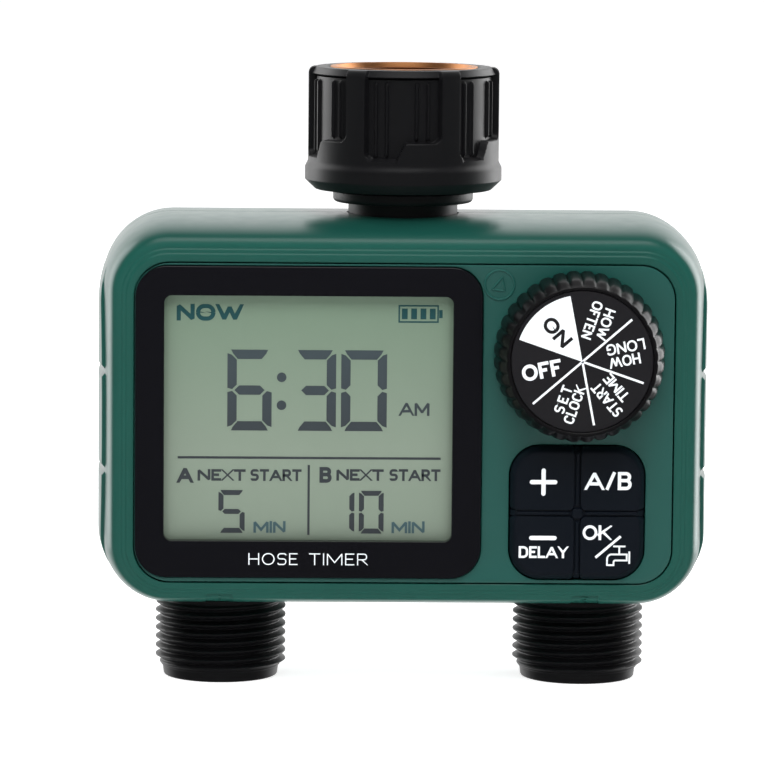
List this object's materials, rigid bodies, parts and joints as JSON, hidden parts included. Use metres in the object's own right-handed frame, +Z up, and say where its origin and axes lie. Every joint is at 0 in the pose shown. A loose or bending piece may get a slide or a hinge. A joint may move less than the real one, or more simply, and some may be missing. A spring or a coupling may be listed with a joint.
{
  "type": "drip irrigation timer",
  "caption": "Battery-powered hose timer: tap connector on top, display, selector dial and keypad in front, threaded outlets below.",
  "frame": {"origin": "on the ground under the middle of the timer's box, which stands on its outlets", "axes": "+Z up along the inlet, +X to the right of someone facing the dial, -Y out of the dial's face"},
  "size_m": [0.122, 0.074, 0.1238],
  "materials": {
    "housing_green": "satin moulded plastic, deep green",
    "black_plastic": "semi-matt moulded plastic, black",
    "window_black": "glossy black lens",
    "black_rubber": "matt silicone rubber, black",
    "display_glass": "grey-green liquid crystal display",
    "white_plastic": "white light-guide plastic",
    "dial_print": "black printed disc with white legends",
    "circuit_board": "green solder mask",
    "brass": "machined brass",
    "copper_winding": "enamelled copper wire",
    "bright_steel": "plated steel",
    "cell_wrap": "plain printed battery sleeve"
  },
  "bodies": {
    "housing": {"front_shell": "housing_green", "rear_shell": "housing_green", "housing_screw_1": "bright_steel", "housing_screw_2": "bright_steel", "housing_screw_3": "bright_steel", "housing_screw_4": "bright_steel", "face_panel": "housing_green", "display_window": "window_black", "window_seal": "black_rubber", "lcd_cell": "display_glass", "lcd_frame": "white_plastic", "lcd_connector": "black_rubber", "main_board": "circuit_board", "controller_chip": "black_plastic", "rotary_switch": "black_plastic", "dial_seal": "black_rubber", "keypad_web": "black_rubber", "inlet_stem": "black_plastic", "stem_collar": "black_plastic", "inlet_filter": "bright_steel", "inlet_washer": "black_rubber", "valve_body_a": "black_plastic", "feed_o_ring_a": "black_rubber", "diaphragm_a": "black_rubber", "bonnet_a": "black_plastic", "plunger_spring_a": "bright_steel", "solenoid_coil_a": "copper_winding", "solenoid_yoke_a": "bright_steel", "valve_body_b": "black_plastic", "feed_o_ring_b": "black_rubber", "diaphragm_b": "black_rubber", "bonnet_b": "black_plastic", "plunger_spring_b": "bright_steel", "solenoid_coil_b": "copper_winding", "solenoid_yoke_b": "bright_steel", "battery_case": "black_plastic", "cell_1": "cell_wrap", "cell_2": "cell_wrap", "cell_3": "cell_wrap", "cell_4": "cell_wrap", "contact_spring_1": "bright_steel", "contact_spring_2": "bright_steel", "contact_spring_3": "bright_steel", "contact_spring_4": "bright_steel", "contact_plate_bottom": "bright_steel", "contact_plate_top": "bright_steel", "door_pin": "bright_steel", "door_seal": "black_rubber"},
    "nut": {"swivel_nut": "black_plastic", "brass_insert": "brass"},
    "dial": {"dial_knob": "black_plastic", "dial_face": "dial_print", "dial_shaft": "bright_steel"},
    "plus_key": {"key_plus": "black_rubber"},
    "outlet_key": {"key_outlet": "black_rubber"},
    "minus_key": {"key_minus": "black_rubber"},
    "ok_key": {"key_ok": "black_rubber"},
    "pilot_a": {"plunger_a": "bright_steel"},
    "pilot_b": {"plunger_b": "bright_steel"},
    "door": {"battery_door": "housing_green"}
  },
  "joints": [
    {"name": "inlet_swivel", "type": "hinge", "parent": "housing", "child": "nut", "pos_m": [0, 0, 0.11], "axis": [0, 0, 1], "continuous": true},
    {"name": "dial_turn", "type": "hinge", "parent": "housing", "child": "dial", "pos_m": [0.03435, -0.03, 0.0683], "axis": [0, 1, 0], "continuous": true},
    {"name": "plus_press", "type": "slide", "parent": "housing", "child": "plus_key", "axis": [0, 1, 0], "range_m": [0, 0.0008], "stiffness_N_per_m": 300},
    {"name": "outlet_press", "type": "slide", "parent": "housing", "child": "outlet_key", "axis": [0, 1, 0], "range_m": [0, 0.0008], "stiffness_N_per_m": 300},
    {"name": "minus_press", "type": "slide", "parent": "housing", "child": "minus_key", "axis": [0, 1, 0], "range_m": [0, 0.0008], "stiffness_N_per_m": 300},
    {"name": "ok_press", "type": "slide", "parent": "housing", "child": "ok_key", "axis": [0, 1, 0], "range_m": [0, 0.0008], "stiffness_N_per_m": 300},
    {"name": "plunger_a_lift", "type": "slide", "parent": "housing", "child": "pilot_a", "axis": [0, 0, 1], "range_m": [0, 0.002], "stiffness_N_per_m": 150, "springref_m": -0.002, "deforming": ["plunger_spring_a"]},
    {"name": "plunger_b_lift", "type": "slide", "parent": "housing", "child": "pilot_b", "axis": [0, 0, 1], "range_m": [0, 0.002], "stiffness_N_per_m": 150, "springref_m": -0.002, "deforming": ["plunger_spring_b"]},
    {"name": "door_swing", "type": "hinge", "parent": "housing", "child": "door", "pos_m": [0, 0.0352, 0.0886], "axis": [1, 0, 0], "range_deg": [0, 100]}
  ]
}
